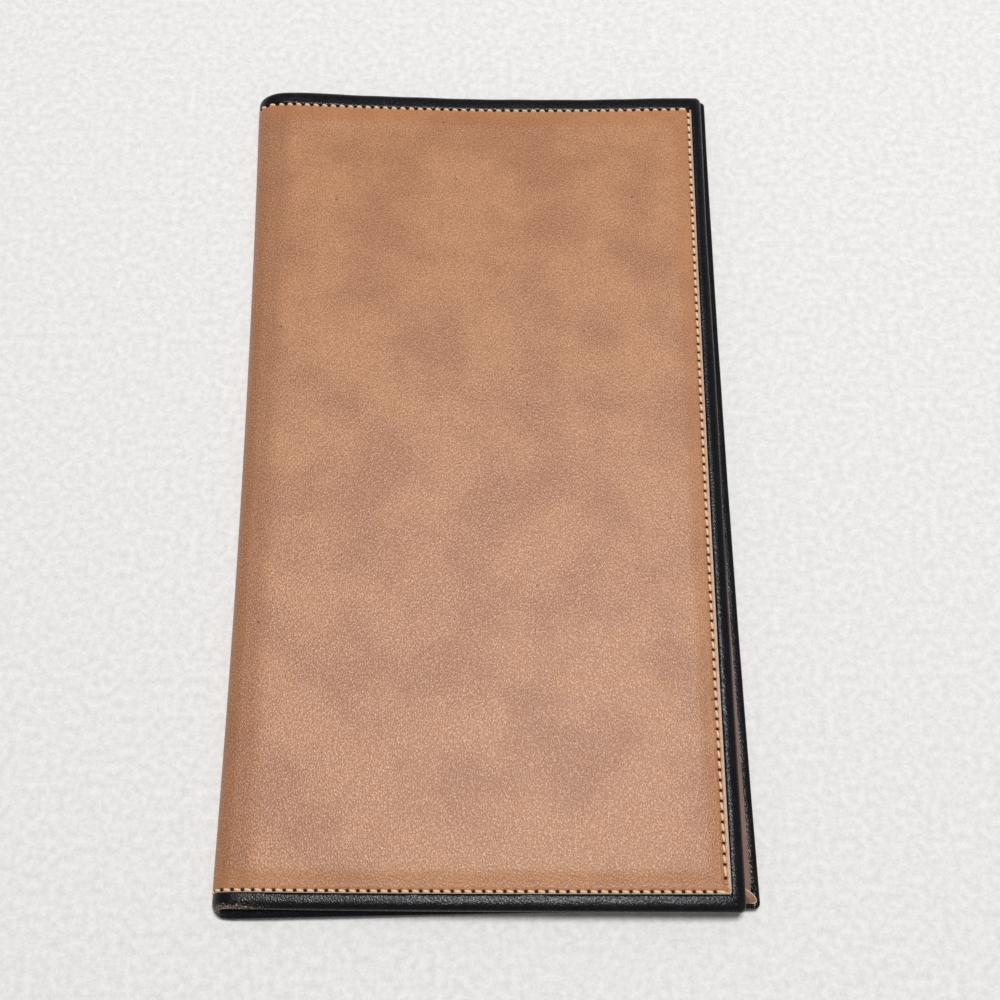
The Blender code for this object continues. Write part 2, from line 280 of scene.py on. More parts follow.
# Vegetable-tanned calf, dyed through and glazed by hand: satin, cloudy, with a fine
# pebbled grain that shows where light grazes it, a few dark pores and a paler cut edge
def tanPattern(tree, shader):
    s = tanLeather
    flat = flatCoordinates(tree)
    patches = ramp(tree, noise(tree, flat, s["patchSize"], 3.0), 0.43, 0.61)
    clouds = ramp(tree, noise(tree, flat, s["cloudSize"], 3.0, 0.6), 0.3, 0.7)
    specks = ramp(tree, noise(tree, flat, s["speckSize"], 2.0, 0.7), 0.34, 0.66)
    skin = mixColours(tree, clouds, colour(s["deep"]), colour(s["base"]))
    skin = tint(tree, skin, patches, s["patch"], 0.74)
    # painted shade round the fold, where the surface turns away from the lamp
    skin = tint(tree, skin, pointValue(tree, "turned"), s["turned"], 0.75)
    skin = tint(tree, skin, specks, s["pale"], 0.66)
    skin = tint(tree, skin, maths(tree, "MULTIPLY_ADD", specks, -0.66, 0.66), s["furrow"])
    grain = hideGrain(tree, s["grainSize"], 40)
    skin = tint(tree, skin, ramp(tree, grain, 0.5, 0.15), s["furrow"], 0.36)
    edge = pointValue(tree, "toEdge")
    # painted shade: the tan is darker where its surface rolls down to the cut edge
    skin = tint(tree, skin, ramp(tree, edge, 6.5, 2.0), s["roll"], 0.45)
    # the margin's own paler tone with a painted highlight along the cut edge
    skin = tint(tree, skin, ramp(tree, edge, 0.9, 0.55), s["marginAndHighlight"], 0.8)
    inputs = {"Vector": flat, "Scale": 1 / (s["poreSpacing"] * mm)}
    pores = addNode(tree, "ShaderNodeTexVoronoi", inputs, voronoi_dimensions="2D")
    skin = tint(tree, skin, ramp(tree, pores.outputs["Distance"], 0.011, 0.006), s["pore"], 0.8)
    cut = ramp(tree, pointValue(tree, "cutFace"), 0.25, 0.6)
    fibre = noise(tree, flat, 0.25, 3.0, 0.8)
    cutColour = mixColours(tree, fibre, colour(s["cutEdge"]), colour(s["cutDeep"]))
    skin = mixColours(tree, cut, skin, cutColour)
    # painted shade inside the stitch holes
    pit = ramp(tree, pointValue(tree, "pit"), 0.42, 0.62)
    fill(tree, shader, "Base Color", tint(tree, skin, pit, s["pit"]))
    fine = noise(tree, flat, 0.3, 2.0, 0.6)
    low = noise(tree, flat, 5.0, 3.0)
    height = maths(tree, "MULTIPLY_ADD", fine, 0.14, maths(tree, "MULTIPLY", grain, 0.75))
    height = maths(tree, "MULTIPLY_ADD", low, 0.35, height)
    addBump(tree, shader, height, 0.9, 0.09)
    crests, furrowed = s["roughness"]
    gloss = maths(tree, "MULTIPLY_ADD", ramp(tree, grain, 0.65, 0.25), furrowed - crests, crests)
    gloss = maths(tree, "MULTIPLY_ADD", clouds, 0.04, gloss)
    gloss = maths(tree, "MULTIPLY_ADD", cut, 0.35, gloss)
    gloss = maths(tree, "MAXIMUM", gloss, maths(tree, "MULTIPLY", pit, 0.9))
    fill(tree, shader, "Roughness", gloss)


blackLeather = {
    "base": "#08080C",
    "pale": "#111117",
    "worn": "#8D7468",
    "bare": "#C9BDB6",
    "grainSize": 0.5,
    "speckSize": 0.5,
    "roughness": (0.17, 0.43),
}


# Chrome-tanned calf with a black pigment finish: a cool satin black with fine grain, worn
# through to brown and pale specks on the corners that rub
def blackPattern(tree, shader):
    s = blackLeather
    flat = flatCoordinates(tree)
    clouds = ramp(tree, noise(tree, flat, 3.0, 3.0), 0.35, 0.65)
    skin = mixColours(tree, clouds, colour(s["base"]), colour(s["pale"]))
    rub = pointValue(tree, "rub")
    specks = noise(tree, flat, s["speckSize"], 3.0, 0.65)
    rubbed = ramp(tree, rub, 0.04, 0.2)
    worn = ramp(tree, maths(tree, "MULTIPLY_ADD", rub, 0.24, specks), 0.66, 0.74)
    worn = maths(tree, "MULTIPLY", worn, rubbed)
    skin = tint(tree, skin, worn, s["worn"])
    bare = ramp(tree, maths(tree, "MULTIPLY_ADD", rub, 0.16, specks), 0.74, 0.79)
    skin = tint(tree, skin, maths(tree, "MULTIPLY", bare, rubbed), s["bare"])
    fill(tree, shader, "Base Color", skin)
    grain = hideGrain(tree, s["grainSize"], -20, 1.2)
    fine = noise(tree, flat, 0.42, 2.0, 0.7)
    height = maths(tree, "MULTIPLY_ADD", fine, 0.9, grain)
    addBump(tree, shader, height, 0.8, 0.06)
    smooth, dull = s["roughness"]
    gloss = maths(tree, "MULTIPLY_ADD", ramp(tree, fine, 0.4, 0.6), dull - smooth, smooth)
    fill(tree, shader, "Roughness", maths(tree, "MULTIPLY_ADD", worn, 0.3, gloss))


linings = {
    "panel": {"skin": "#80594A", "deep": "#63443A", "edge": "#C49A7E"},
    "pocket": {"skin": "#94674B", "deep": "#79523C", "edge": "#F0CBB6"},
    "crease": "#3F281C",
}


# Lining leathers, split thin and left matt: the surface colour clouds gently, the cut
# edge is paler than the skin, and a line creased along a pocket's mouth is darker
def liningPattern(tree, shader, kind):
    s = linings[kind]
    flat = flatCoordinates(tree)
    clouds = ramp(tree, noise(tree, flat, 9.0, 4.0, 0.6), 0.3, 0.7)
    skin = tint(tree, colour(s["deep"]), clouds, s["skin"], 0.7)
    specks = ramp(tree, noise(tree, flat, 0.5, 2.0, 0.7), 0.3, 0.7)
    skin = tint(tree, skin, specks, s["skin"], 0.5)
    skin = tint(tree, skin, pointValue(tree, "crease"), linings["crease"], 0.8)
    cut = ramp(tree, pointValue(tree, "cutFace"), 0.2, 0.5)
    skin = tint(tree, skin, maths(tree, "MULTIPLY", cut, pointValue(tree, "open")), s["edge"])
    fill(tree, shader, "Base Color", skin)
    grain = hideGrain(tree, 0.7, 15, 1.3)
    fine = noise(tree, flat, 0.25, 2.0, 0.7)
    height = maths(tree, "MULTIPLY_ADD", fine, 0.5, grain)
    addBump(tree, shader, height, 0.5, 0.05)


threadLook = {"base": "#F4D4B3", "shade": "#DAB08C", "twist": 0.42}


# Waxed linen thread, three strands twisted: pale cream, with slanting dark lines between
# the strands, at the twist's real spacing
def threadPattern(tree, shader):
    along = addNode(tree, "ShaderNodeUVMap", uv_map="flat").outputs[0]
    parts = addNode(tree, "ShaderNodeSeparateXYZ", {0: along})
    turns = maths(tree, "MULTIPLY", parts.outputs[0], 2 * pi / (threadLook["twist"] * mm))
    wave = maths(tree, "SINE", maths(tree, "ADD", turns, parts.outputs[1]))
    strand = maths(tree, "MULTIPLY_ADD", wave, 0.5, 0.5)
    skin = tint(tree, colour(threadLook["shade"]), strand, threadLook["base"])
    fill(tree, shader, "Base Color", skin)
    addBump(tree, shader, strand, 0.6, 0.05)


# Pressed grey board and needled felt: fibres lie every way, so colour and height follow a
# fine noise drawn out along one way
def fibrePattern(tree, shader, lightCode, darkCode, size):
    place = addNode(tree, "ShaderNodeTexCoord").outputs["Object"]
    inputs = {"Vector": place, "Scale": (1.0, 0.35, 1.0), "Rotation": (0.0, 0.0, 0.6)}
    drawn = addNode(tree, "ShaderNodeMapping", inputs).outputs[0]
    fibres = noise(tree, drawn, size, 4.0, 0.7)
    skin = tint(tree, colour(darkCode), ramp(tree, fibres, 0.3, 0.7), lightCode)
    fill(tree, shader, "Base Color", skin)
    addBump(tree, shader, fibres, 0.6, 0.08)


tanCalf = newMaterial("vegetable tanned calf, hand glazed", tanPattern, IOR=1.44)
blackCalf = newMaterial(
    "chrome tanned calf, pigment finished", blackPattern, IOR=1.4, Specular_IOR_Level=0.36
)
linenThread = newMaterial("waxed linen thread, twisted", threadPattern, Roughness=0.62)
panelSkin = newMaterial(
    "lining calf, split and matt",
    lambda tree, shader: liningPattern(tree, shader, "panel"),
    Roughness=0.6,
)
pocketSkin = newMaterial(
    "pocket calf, split and matt",
    lambda tree, shader: liningPattern(tree, shader, "pocket"),
    Roughness=0.58,
)
greyBoard = newMaterial(
    "greyboard, pressed",
    lambda tree, shader: fibrePattern(tree, shader, "#8B8477", "#6B6459", 0.8),
    Roughness=0.9,
)
felt = newMaterial(
    "interlining felt, needled",
    lambda tree, shader: fibrePattern(tree, shader, "#B9AE9C", "#968B7B", 0.5),
    Roughness=0.95,
)


print("scene: mesh tools")


# Points in millimetres, faces and point values go into a mesh object in metres
def putMesh(name, points, faces, material, values, flat, normals=None):
    mesh = bpy.data.meshes.new(name)
    mesh.from_pydata((points * mm).tolist(), [], faces)
    mesh.materials.append(material)
    corners = np.empty(len(mesh.loops), dtype=np.int32)
    mesh.loops.foreach_get("vertex_index", corners)
    layer = mesh.uv_layers.new(name="flat")
    layer.data.foreach_set("uv", flat[corners].ravel())
    for key, numbers in values.items():
        attribute = mesh.attributes.new(key, "FLOAT", "POINT")
        attribute.data.foreach_set("value", np.asarray(numbers, dtype=np.float32))
    mesh.shade_smooth()
    if normals is None:
        mesh.set_sharp_from_angle(angle=radians(42))
    else:
        mesh.normals_split_custom_set_from_vertices(normals.tolist())
    mesh.validate()
    piece = bpy.data.objects.new(name, mesh)
    bpy.context.scene.collection.objects.link(piece)
    return piece


# Squares of a net near a free corner become quarter circles: a point moves towards the
# corner's centre until its distance from it is the longer of its two legs
def roundCorners(t, v, endsT, endV, radius, free):
    for which, sign in ((0, -1.0), (1, 1.0)):
        if not free[which]:
            continue
        inT = radius - (endsT[which] - t) * sign
        inV = radius - (endV - np.abs(v))
        inside = (inT > 0) & (inV > 0)
        scale = np.maximum(inT, inV) / (np.hypot(inT, inV) + 1e-9)
        t = np.where(inside, endsT[which] - sign * (radius - inT * scale), t)
        v = np.where(inside, np.sign(v) * (endV - radius + inV * scale), v)
    return t, v


# Lines from low to high at the given spacing, with extra ones, none closer than tooClose
def netLines(lines, tooClose=0.1):
    lines = np.sort(np.concatenate([np.atleast_1d(a) for a in lines]))
    keep = np.concatenate([[True], np.diff(lines) > tooClose])
    kept = lines[keep]
    kept[-1] = lines[-1]
    return kept


# Unit normals of the surface leatherPoint(t, v, depth(t, v)): the cross product of its
# slopes along t and along v, taken over a small step
def surfaceNormals(t, v, depth, step=0.04):
    def at(t, v):
        return leatherPoint(t, v, depth(t, v))

    alongT = at(t + step, v) - at(t - step, v)
    alongV = at(t, v + step) - at(t, v - step)
    normal = np.cross(alongT, alongV)
    return normal / np.linalg.norm(normal, axis=-1, keepdims=True)


# The rounded wall of a cut sheet: how far out each ring stands, how deep it is as a share
# of the thickness, and how much its normal points out and up
def cutWall(rounding, count=4):
    turns = np.linspace(0, pi / 2, count)
    upper = [(rounding * sin(a), 0.5 * (1 - cos(a)) * 0.5, sin(a), cos(a)) for a in turns[1:]]
    lower = [(out, 1 - deep, normalOut, -up) for out, deep, normalOut, up in upper[::-1]]
    return [(0.0, 0.0, 0.0, 1.0)] + upper + lower + [(0.0, 1.0, 0.0, -1.0)]


# A closed sheet over a net of t and v lines. Its outer side follows outer(t, v), a rounded
# wall goes round it, and its inner side is a second net, or rings drawn in to a flat face.
# The sides of the net that are not free are seams, where the sheet goes on in another piece
def makeSheet(name, material, lineT, lineV, outer, inner, wall, radius=0.3, free=(True, True),
              innerNet=False, innerInsets=(), warp=None, flip=False, marks=None, customNormals=False):
    netT, netV = np.meshgrid(lineT, lineV, indexing="ij")
    netT, netV = roundCorners(netT, netV, (lineT[0], lineT[-1]), lineV[-1], radius, free)
    if warp is not None:
        netT, netV = warp(netT, netV)
    rows, columns = netT.shape
    index = np.arange(rows * columns).reshape(rows, columns)
    loop = np.concatenate([index[:-1, 0], index[-1, :-1], index[:0:-1, -1], index[0, :0:-1]])
    t, v = netT.ravel(), netV.ravel()
    loopT, loopV = t[loop], v[loop]
    wayT = np.roll(loopV, -1) - np.roll(loopV, 1)
    wayV = np.roll(loopT, 1) - np.roll(loopT, -1)
    for which, row in ((0, 0), (1, rows - 1)):
        if not free[which]:
            onSeam = np.isin(loop, index[row])
            atEnd = np.isin(loop, index[row, [0, -1]])
            wayT = np.where(onSeam, 0.0, wayT)
            wayV = np.where(onSeam, np.where(atEnd, np.sign(loopV), 0.0), wayV)
    length = np.hypot(wayT, wayV) + 1e-12
    wayT, wayV = wayT / length, wayV / length
    loopOuter = outer(loopT, loopV)
    loopInner = inner(loopT, loopV)
    ringT, ringV, ringW, ringCut, ringTurn = [], [], [], [], []
    for out, deep, normalOut, up in wall[1:]:
        ringT.append(loopT + wayT * out)
        ringV.append(loopV + wayV * out)
        ringW.append(loopOuter + (loopInner - loopOuter) * deep)
        ringCut.append(np.full(len(loop), min(1.0, 8 * min(deep, 1 - deep)) if 0 < deep < 1 else 0.0))
        ringTurn.append((normalOut, up))
    fixedT = lineT[0] if not free[0] else lineT[-1] if not free[1] else (lineT[0] + lineT[-1]) / 2
    spanT = max(abs(lineT[0] - fixedT), abs(lineT[-1] - fixedT))
    for inset in innerInsets:
        drawnT = fixedT + (loopT - fixedT) * (1 - inset / spanT)
        drawnV = loopV * (1 - inset / lineV[-1])
        ringT.append(drawnT)
        ringV.append(drawnV)
        ringW.append(inner(drawnT, drawnV))
        ringCut.append(np.zeros(len(loop)))
        ringTurn.append((0.0, -1.0))
    allT = np.concatenate([t, *ringT])
    allV = np.concatenate([v, *ringV])
    allW = np.concatenate([outer(t, v), *ringW])
    cut = np.concatenate([np.zeros(len(t)), *ringCut])
    count = rows * columns
    quads = np.stack([index[:-1, :-1], index[1:, :-1], index[1:, 1:], index[:-1, 1:]], axis=-1)
    faces = quads.reshape(-1, 4).tolist()
    upper = loop
    for ring in range(len(ringT)):
        lower = count + ring * len(loop) + np.arange(len(loop))
        band = np.stack([upper, lower, np.roll(lower, -1), np.roll(upper, -1)], axis=-1)
        faces += band.tolist()
        upper = lower
    if innerNet:
        # the last ring is the inner net's own border
        base = len(allT)
        netIndex = base + index
        allT = np.concatenate([allT, t])
        allV = np.concatenate([allV, v])
        allW = np.concatenate([allW, inner(t, v)])
        cut = np.concatenate([cut, np.zeros(count)])
        netIndex = netIndex.ravel()
        netIndex[loop] = upper
        netIndex = netIndex.reshape(rows, columns)
        near, far = netIndex[:-1], netIndex[1:]
        back = np.stack([near[:, :-1], near[:, 1:], far[:, 1:], far[:, :-1]], axis=-1)
        faces += back.reshape(-1, 4).tolist()
    else:
        faces.append(upper[::-1].tolist())
    points = leatherPoint(allT, allV, allW)
    normals = None
    if customNormals:
        surface = surfaceNormals(t, v, outer)
        atLoop = surface[loop]
        outward = leatherPoint(loopT + wayT * 0.1, loopV + wayV * 0.1, loopOuter)
        outward = outward - leatherPoint(loopT, loopV, loopOuter)
        outward = outward / (np.linalg.norm(outward, axis=-1, keepdims=True) + 1e-9)
        normals = [surface] + [outward * a + atLoop * b for a, b in ringTurn]
        if innerNet:
            normals.append(-surface)
        normals = np.concatenate(normals)
        normals = normals / (np.linalg.norm(normals, axis=-1, keepdims=True) + 1e-9)
    if flip:
        faces = [face[::-1] for face in faces]
    values = {"cutFace": cut}
    if marks is not None:
        values.update(marks(allT, allV))
    if innerNet:
        used = np.ones(len(allT), dtype=bool)
        used[base + loop] = False
        renumber = np.cumsum(used) - 1
        faces = [[int(renumber[i]) for i in face] for face in faces]
        points = points[used]
        allT, allV = allT[used], allV[used]
        values = {key: np.asarray(numbers)[used] for key, numbers in values.items()}
        normals = None if normals is None else normals[used]
    flat = np.stack([allT * mm, allV * mm], axis=-1)
    return putMesh(name, points, faces, material, values, flat, normals)


# The same depth all over
def flatDepth(value):
    return lambda t, v: np.full_like(t, value)


# What a finished piece moves with and what it stands for, whose parts are hidden
def fit(piece, body, nodes):
    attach(piece, body)
    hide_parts(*nodes)


# A piece of the fold between two thirds of its half circle: its place is baked into its mesh and the
# parts it stands for are hidden. The ends of its stretch, on the layer's own chord and clear of the
# waist, are worked out but not used
def bend(piece, number, depth, nodes, slot):
    radius = foldRadius - depth
    ends = []
    for angle in (bendAngle * number, bendAngle * (number + 1)):
        height = foldRadius - radius * cos(angle) - foldSink(foldRadius * angle - foldArc)
        ends.append(np.array([foldX - radius * sin(angle), 0.0, height]))
    start, end = ends
    along = (end - start) / np.linalg.norm(end - start)
    shorter = holder["foldWaist"] * sin(bendAngle) * cos(bendAngle / 2)
    if number == 0:
        end = end - along * shorter
    if number == 2:
        start = start + along * shorter
    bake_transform(piece)
    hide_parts(*nodes)


# The third of the fold's nodes that a piece stands for
def foldNodes(layer, number):
    return [[f"fold_{layer}_1"], [f"fold_{layer}_1", f"fold_{layer}_2"], [f"fold_{layer}_2"]][number]


print("scene: stitch rows")

stitch = {
    "pitch": 2.505,
    "thread": 0.64,
    "topInset": 0.2,  # from the outer leather's cut edge to the row
    "endInset": 0.55,
    "cornerInset": 1.0,  # from the side's cut edge to the end rows' first hole
    "sideInset": 1.1,
    "sideSlant": 0.002,  # the side rows lie nearer the edge at the top
    "firstLong": 3.0,  # the first stitch of the end rows
    "firstShort": 2.05,  # the first of the side rows
    "lastLong": 3.1,  # and their last one
    "sideStart": 1.06,  # from the end's cut edge to the side rows' first hole
    "sideCount": 85,  # holes between the side rows' first and last ones
    "groove": 0.16,
    "pit": 0.34,
    "skew": 5,  # degrees
}
outerSheet = {
    "thickness": 0.8,
    "crown": 0.5,
    "flatBand": 0.9,
    "rollBand": 5.4,
    "corner": 0.5,
    "edgeRound": 0.14,
    "swell": 0.05,  # slow hollows and swells of a surface over soft padding
}
edgeV = halfLength - border["end"]
edges = {"front": holder["frontReach"] - border["side"], "back": holder["backReach"] - border["side"]}

# The rows: the value of t or v that each keeps, and where its holes lie, from high to low.
# End rows run on round the fold from the front cover to the back cover
endStart = edges["front"] - stitch["cornerInset"]
endFinish = -foldArc - edges["back"] + stitch["cornerInset"]
endCount = int((endStart - endFinish - 2 * stitch["firstLong"]) / stitch["pitch"])
endHoles = endStart - stitch["firstLong"] - stitch["pitch"] * np.arange(endCount + 1)
endHoles = np.concatenate([[endStart], endHoles, [endHoles[-1] - stitch["firstLong"]]])
sideTop = edgeV - stitch["sideStart"]
sideHoles = sideTop - stitch["firstShort"] - stitch["pitch"] * np.arange(stitch["sideCount"])
sideHoles = np.concatenate([[sideTop], sideHoles, [sideHoles[-1] - stitch["lastLong"]]])
rows = {
    "top": {"along": "t", "keep": edgeV - stitch["topInset"], "holes": endHoles},
    "bottom": {"along": "t", "keep": -edgeV + stitch["endInset"], "holes": endHoles},
    "front": {"along": "v", "keep": edges["front"] - stitch["sideInset"], "holes": sideHoles},
    "back": {"along": "v", "keep": -foldArc - edges["back"] + stitch["sideInset"], "holes": sideHoles},
}
# Half the length and width of a row's holes, how much of the pitch its thread leaves, and
# how far the row leans
for name, row in rows.items():
    row["pit"] = {"top": (0.72, 0.5), "bottom": (0.72, 0.45)}.get(name, (0.54, 0.46))
    row["gap"] = {"top": 1.05, "bottom": 0.85}.get(name, 0.7)
    row["slant"] = {"front": stitch["sideSlant"], "back": -stitch["sideSlant"]}.get(name, 0.0)


# Distance across a row, along it to the nearest hole, and whether the row is there
def rowDistances(row, t, v):
    if row["along"] == "t":
        along, across = t, v - row["keep"]
    else:
        along, across = v, t - row["keep"] - row["slant"] * v
    holes = row["holes"][::-1]
    after = np.clip(np.searchsorted(holes, along), 1, len(holes) - 1)
    nearest = np.minimum(np.abs(along - holes[after - 1]), np.abs(along - holes[after]))
    there = (along > holes[0] - 1.5) & (along < holes[-1] + 1.5)
    return across, nearest, there


# The holes' places with every gap split in four
def latticeLines(holes):
    return np.interp(np.arange(4 * len(holes) - 3) / 4, np.arange(len(holes)), holes)


# How deep the stitches pull the leather in: a groove along each row with a pit at each hole
def stitchRelief(t, v):
    depth = np.zeros(np.broadcast(t, v).shape)
    for row in rows.values():
        across, nearest, there = rowDistances(row, t, v)
        groove = stitch["groove"] * np.exp(-((across / 0.6) ** 2))
        pit = stitch["pit"] * np.exp(-((across / 0.4) ** 2) - (nearest / 0.5) ** 2)
        depth = depth + (groove + pit) * there
    return depth


# 1 at the middle of a hole and 0 beyond its rim; the tan is painted dark there as shade inside the hole
def pitShadeValue(t, v):
    value = np.zeros(np.broadcast(t, v).shape)
    for row in rows.values():
        across, nearest, there = rowDistances(row, t, v)
        far = np.hypot(across / row["pit"][1], nearest / row["pit"][0])
        knotted = (row["along"] == "t") & (row["keep"] < 0) & (np.abs(t - endHoles[0]) < 1.2)
        value = np.maximum(value, np.clip(1 - 0.5 * far, 0, 1) * there * np.where(knotted, 0.5, 1.0))
    return value


# Distance to the nearest cut edge of the outer leather
def toCutEdge(t, v):
    side = np.minimum(edges["front"] - t, t + foldArc + edges["back"])
    return np.minimum(side, edgeV - np.abs(v))


# Depth of the outer leather's two sides: it rolls down over its padding's edge, lies flat
# where it is sewn, swells slowly and is pulled in by the stitches
def crownDepth(t, v):
    flat = outerSheet["flatBand"]
    roll = smoothRise(toCutEdge(t, v), flat, flat + outerSheet["rollBand"])
    return outerSheet["crown"] * (1 - roll) * (1 - 0.9 * onFold(t))


# 1 on the fold, 0 on the covers, with a smooth change where they meet
def onFold(t):
    return 1 - smoothRise(np.abs(t + foldArc / 2), foldArc * 0.2, foldArc / 2 + 2.5)


def outerFace(t, v):
    swell = np.sin(t / 9.5 + 1.3 * np.sin(v / 31)) * np.sin(v / 13.7 + 0.8) + 1
    inside = smoothRise(toCutEdge(t, v), 3, 16)
    inside = inside * smoothRise(np.abs(t + foldArc / 2), foldArc / 2, foldArc)
    return crownDepth(t, v) + stitchRelief(t, v) + outerSheet["swell"] * swell * inside


def outerUnder(t, v):
    return crownDepth(t, v) + outerSheet["thickness"]


# Point values of the outer leather: distance to the edge, holes for their painted shade, and how far it
# is turned, which sets the painted shade round the fold
def outerMarks(t, v):
    turned = 1 - smoothRise(np.abs(t + foldArc / 2), foldArc * 0.66, foldArc * 0.92)
    return {"toEdge": np.maximum(toCutEdge(t, v), 0), "pit": pitShadeValue(t, v), "turned": turned}


print("scene: outer leather")
nearEdge = np.array([
    0, 0.2, 0.42, 0.65, 0.85, 1.0, 1.2, 1.4, 1.6, 1.8, 2.1, 2.5, 3.0, 3.6, 4.3, 5.1, 6.0, 7.0, 8.0,
])
inset = outerSheet["edgeRound"]
endV = edgeV - inset
lineV = netLines([nearEdge - endV, endV - nearEdge, latticeLines(sideHoles)])
tLattice = latticeLines(endHoles)
outerWall = cutWall(inset)
outerRings = (2.2, 4.0, 6.0, 8.4)
frontT = edges["front"] - inset
backT = -foldArc - edges["back"] + inset
frontLattice = tLattice[(tLattice > 0.2) & (tLattice < frontT - 0.1)]
backLattice = tLattice[(tLattice < -foldArc - 0.2) & (tLattice > backT + 0.1)]
linesOf = {
    "front": netLines([[0.0], frontT - nearEdge, frontLattice]),
    "back": netLines([[-foldArc], backT + nearEdge, backLattice]),
}
for cover, lines in linesOf.items():
    skin = makeSheet(
        f"{cover}_outer_leather_skin", tanCalf, lines, lineV, outerFace, outerUnder, outerWall,
        radius=outerSheet["corner"], free=(cover == "back", cover == "front"),
        innerInsets=outerRings, marks=outerMarks, customNormals=True,
    )
    fit(skin, f"{cover}_cover", [f"{cover}_outer_leather"])

segmentArc = foldArc / 3
foldEnds = [-foldArc + segmentArc * number for number in range(4)]


# The lines across one third of the fold
def foldLines(number, spacing):
    steps = int(np.ceil(segmentArc / spacing))
    return np.linspace(foldEnds[number], foldEnds[number + 1], steps + 1)


for number in range(3):
    skin = makeSheet(
        f"fold_outer_leather_skin_{number + 1}", tanCalf, foldLines(number, 0.4), lineV, outerFace,
        outerUnder, outerWall, free=(False, False), innerNet=True, marks=outerMarks, customNormals=True,
    )
    bend(skin, number, 0.4, foldNodes("outer_leather", number), "outer_leather")

print("scene: base leather")
baseSheet = {
    "under": 1.4,  # outer side under the outer leather
    "atCut": (0.9, 1.38),  # and at its cut edge: on the fold, on the covers
    "inner": 2.15,
    "crest": (0.15, 0.85),  # top of the swollen border: on the fold, on the covers
    "middle": (1.6, 2.3),
    "turnedFace": (2.75, 3.2),
    "turnedInner": (2.25, 2.7),
    "rise": 0.4,  # the border swells up over this width beside the cut edge
    "droop": 0.4,  # the side border slopes down this much to its rounding
    "roundTop": 1.5,  # how far in the edge's rounding starts
    "roundUnder": {"front": (0.9, 2.4), "back": (2.4, 2.4)},  # on the inner side: sides, ends
    "cornerSag": (0.4, 4.0),  # the border sinks this much towards the free corners, from so far
    "turnIn": 12.0,
    "hiddenInset": 5.5,
    "overlap": 0.6,  # of the middle part on the turned edge's hidden run
    "corner": 1.4,
}


# Cross-section of the turned edge: (inset, how much further in it lies on the end borders,
# and shares of the depths under, atCut, crest, middle, turnedFace, turnedInner and inner):
# the run under the outer leather, the swell, an elliptical nose, the turned-in face, and back
def turnedProfile(cover):
    s = baseSheet
    under, endUnder = s["roundUnder"][cover]
    turns = np.linspace(0, pi / 2, 9)[1:]
    more = border["end"] - border["side"]
    points = [
        (s["hiddenInset"], 0, 1, 0, 0, 0, 0, 0, 0),
        (border["side"] + 0.4, more, 0, 1, 0, 0, 0, 0, 0),
    ]
    for share in np.linspace(0, 1, 5):
        swell = share * share * (3 - 2 * share)
        inset = border["side"] + 0.1 - s["rise"] * share
        points.append((inset, more, 0, 1 - swell, swell, 0, 0, 0, 0))
    points += [(inset, more, 0, 0, 1, 0, 0, 0, 0) for inset in (2.3, 1.9, s["roundTop"])]
    for a in turns:
        inward = 1 - sin(a)
        points.append((s["roundTop"] * inward, more * inward, 0, 0, cos(a), 1 - cos(a), 0, 0, 0))
    for a in turns:
        across = 1 - cos(a)
        points.append((under * across, (endUnder - under) * across, 0, 0, 0, 1 - sin(a), sin(a), 0, 0))
    for inset in (3.2, 6.0, s["turnIn"] - 0.3):
        points.append((inset, 0, 0, 0, 0, 0, 1, 0, 0))
    points += [(s["turnIn"], 0, 0, 0, 0, 0, 0.8, 0.2, 0), (s["turnIn"], 0, 0, 0, 0, 0, 0.15, 0.85, 0)]
    for inset in (s["turnIn"] - 0.2, 6.0, 1.1):
        points.append((inset, 0, 0, 0, 0, 0, 0, 1, 0))
    points += [(0.95, 0, 0, 0, 0, 0, 0, 0.9, 0.1), (0.95, 0, 0, 0, 0, 0, 0, 0.1, 0.9)]
    points += [(1.1, 0, 0, 0, 0, 0, 0, 0, 1), (s["hiddenInset"], 0, 0, 0, 0, 0, 0, 0, 1)]
    return np.array(points)


# Depth of the cross-section's points at distance u from the fold
def turnedDepth(profile, u):
    near = smoothRise(u, 0, 6)
    depths = [baseSheet["under"]]
    for key in ("atCut", "crest", "middle", "turnedFace", "turnedInner"):
        low, high = baseSheet[key]
        depths.append(low + (high - low) * near)
    depths.append(baseSheet["inner"])
    return sum(depth * profile[:, 2 + k] for k, depth in enumerate(depths))


# How worn the black is: most at the fold's lower corner, some at the free corners, and
# along the lower part of the back's border, where the front's edge rubs on it
def rubValue(t, v, reach):
    u = np.where(t > -foldArc / 2, t, -t - foldArc)
    fold = 0.9 * np.exp(-(((t + 0.5) / 9.0) ** 2)) * smoothRise(-v, halfLength - 2.0, halfLength - 0.4)
    corner = np.exp(-((np.hypot(u - reach, np.abs(v) - halfLength) / 2.2) ** 2))
    under = np.exp(-(((u - reach + 1.8) / 0.6) ** 2)) * smoothRise(-v, 60, 105) * (t < -foldArc)
    return np.clip(fold + 0.3 * corner + 0.75 * under, 0, 1)


